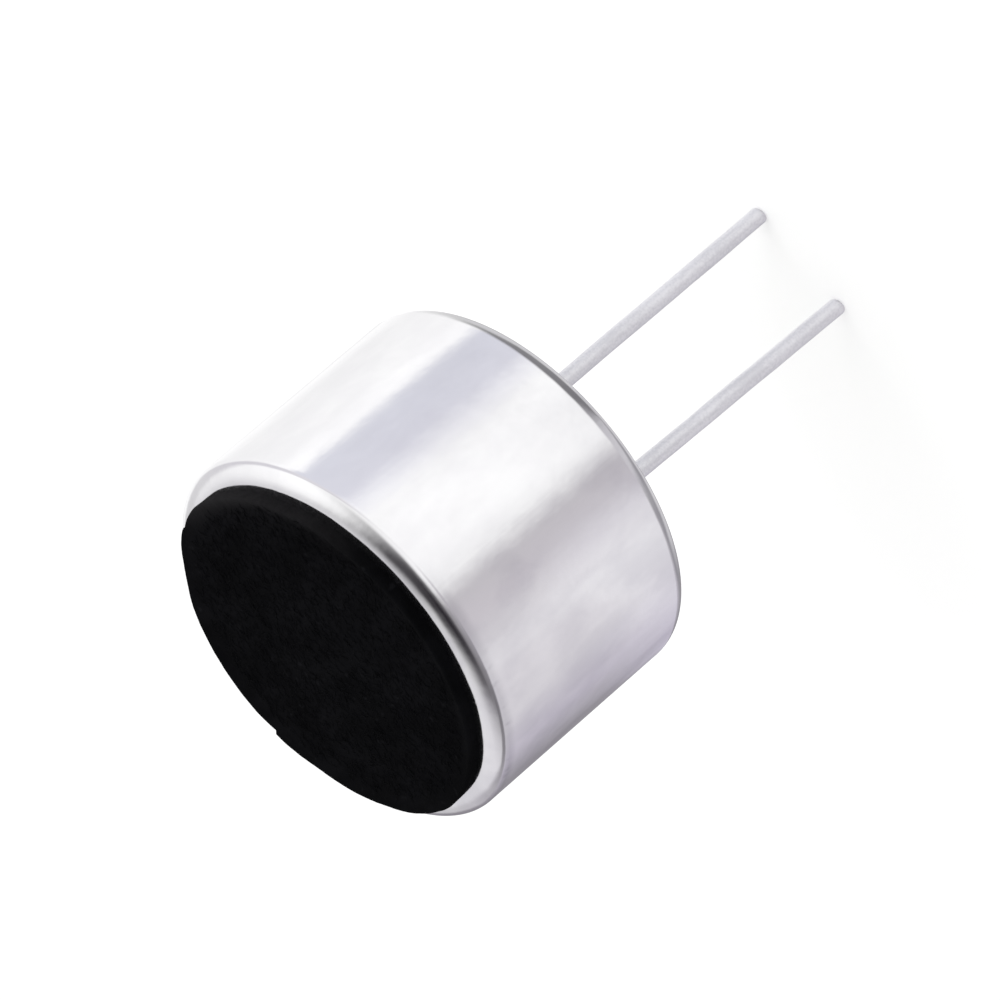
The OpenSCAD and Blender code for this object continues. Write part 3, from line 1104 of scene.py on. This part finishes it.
def low_card():
    """The pale card, which only metal mirrors, with an uneven upper edge."""
    shape = bmesh.new()
    first, last = [math.radians(h) for h in LOW_CARD_HEADINGS]
    angles = [first + (last - first) * i / LOW_CARD_STEPS for i in range(LOW_CARD_STEPS + 1)]
    places = [(LOW_CARD_R * math.sin(a), -LOW_CARD_R * math.cos(a)) for a in angles]
    lower, upper = [[shape.verts.new((x, y, z)) for x, y in places] for z in LOW_CARD_Z]
    for i in range(LOW_CARD_STEPS):
        shape.faces.new((lower[i], lower[i + 1], upper[i + 1], upper[i]))
    mesh = bpy.data.meshes.new("low_card")
    shape.to_mesh(mesh)
    shape.free()
    material, graph = new_material("pale_card")
    own = graph.parts()
    heading = heading_of(graph, own)
    uneven = graph.grain(0.16, 3, 0.6) * LOW_CARD_UNEVEN - LOW_CARD_UNEVEN / 2
    fall = (heading - turn_share(LOW_CARD_FADE_AT)) * LOW_CARD_FALL
    share = graph.step(fall - own.out("Z") + uneven, *[-z for z in LOW_CARD_FADE])
    end = graph.step(0 - heading, *[-turn_share(h) for h in LOW_CARD_END])
    greys = by_heading(graph, heading, LOW_CARD)
    pale = graph.node("ShaderNodeEmission", None, {"Color": greys, "Strength": 1.0})
    clear = graph.node("ShaderNodeBsdfTransparent")
    seen = graph.node("ShaderNodeMixShader", None, {0: share * end, 1: clear, 2: pale})
    graph.node("ShaderNodeOutputMaterial", None, {"Surface": seen})
    mesh.materials.append(material)
    card = add_object("low_card", mesh)
    card.visible_camera = False
    card.visible_diffuse = False
    card.visible_shadow = False
    card.visible_transmission = False


# The floor's half side in metres and its glow for the camera, and the lamp's direction, distance, side and
# strength
FLOOR_HALF = 0.5
FLOOR_GLOW = 0.32
KEY_WAY = Vector((0.55, -0.35, 0.76)).normalized()
KEY_DISTANCE = 0.18
KEY_SIDE = 0.1
KEY_WATTS = 0.05


def make_floor():
    """A plain white floor under the wires' ends. It keeps the shadow, and from below it isn't there."""
    level = cad_box[0].z
    corners = [(-1, -1), (1, -1), (1, 1), (-1, 1)]
    mesh = bpy.data.meshes.new("floor")
    mesh.from_pydata([(x * FLOOR_HALF, y * FLOOR_HALF, level) for x, y in corners], [], [(0, 1, 2, 3)])
    material, graph = new_material("floor_white")
    paper = graph.grain(0.02, 2)
    white = graph.mix(paper, grey(0.84), grey(0.86))
    matt = graph.node("ShaderNodeBsdfDiffuse", None, {"Color": white})
    path = graph.node("ShaderNodeLightPath")
    glow = graph.node(
        "ShaderNodeEmission",
        None,
        {"Color": grey(1), "Strength": path.out("Is Camera Ray") * FLOOR_GLOW},
    )
    lit = graph.node("ShaderNodeAddShader", None, {0: matt, 1: glow})
    clear = graph.node("ShaderNodeBsdfTransparent")
    behind = graph.node("ShaderNodeNewGeometry").out("Backfacing")
    seen = graph.node("ShaderNodeMixShader", None, {0: behind, 1: lit, 2: clear})
    graph.node("ShaderNodeOutputMaterial", None, {"Surface": seen})
    mesh.materials.append(material)
    floor = add_object("floor", mesh)
    floor.visible_glossy = False


def key_lamp():
    """One large soft lamp above the object."""
    data = bpy.data.lights.new("key", "AREA")
    data.size = KEY_SIDE
    data.energy = KEY_WATTS
    lamp = add_object("key", data)
    lamp.location = KEY_WAY * KEY_DISTANCE
    lamp.rotation_mode = "QUATERNION"
    lamp.rotation_quaternion = (-KEY_WAY).to_track_quat("-Z", "Y")
    lamp.visible_glossy = False


bpy.context.scene.view_settings.view_transform = "Standard"
photo_camera()
dress_nodes()
make_case()
make_adhesive()
make_fibres(make_felt())
make_lead("output_wire", "output_pin", "output_lead")
make_lead("ground_wire", "ground_pin", "ground_lead")
make_solder("output_joint", "output_pin", "output_solder")
make_solder("ground_joint", "ground_pin", "ground_solder")
make_floor()
key_lamp()
low_card()
studio_light()
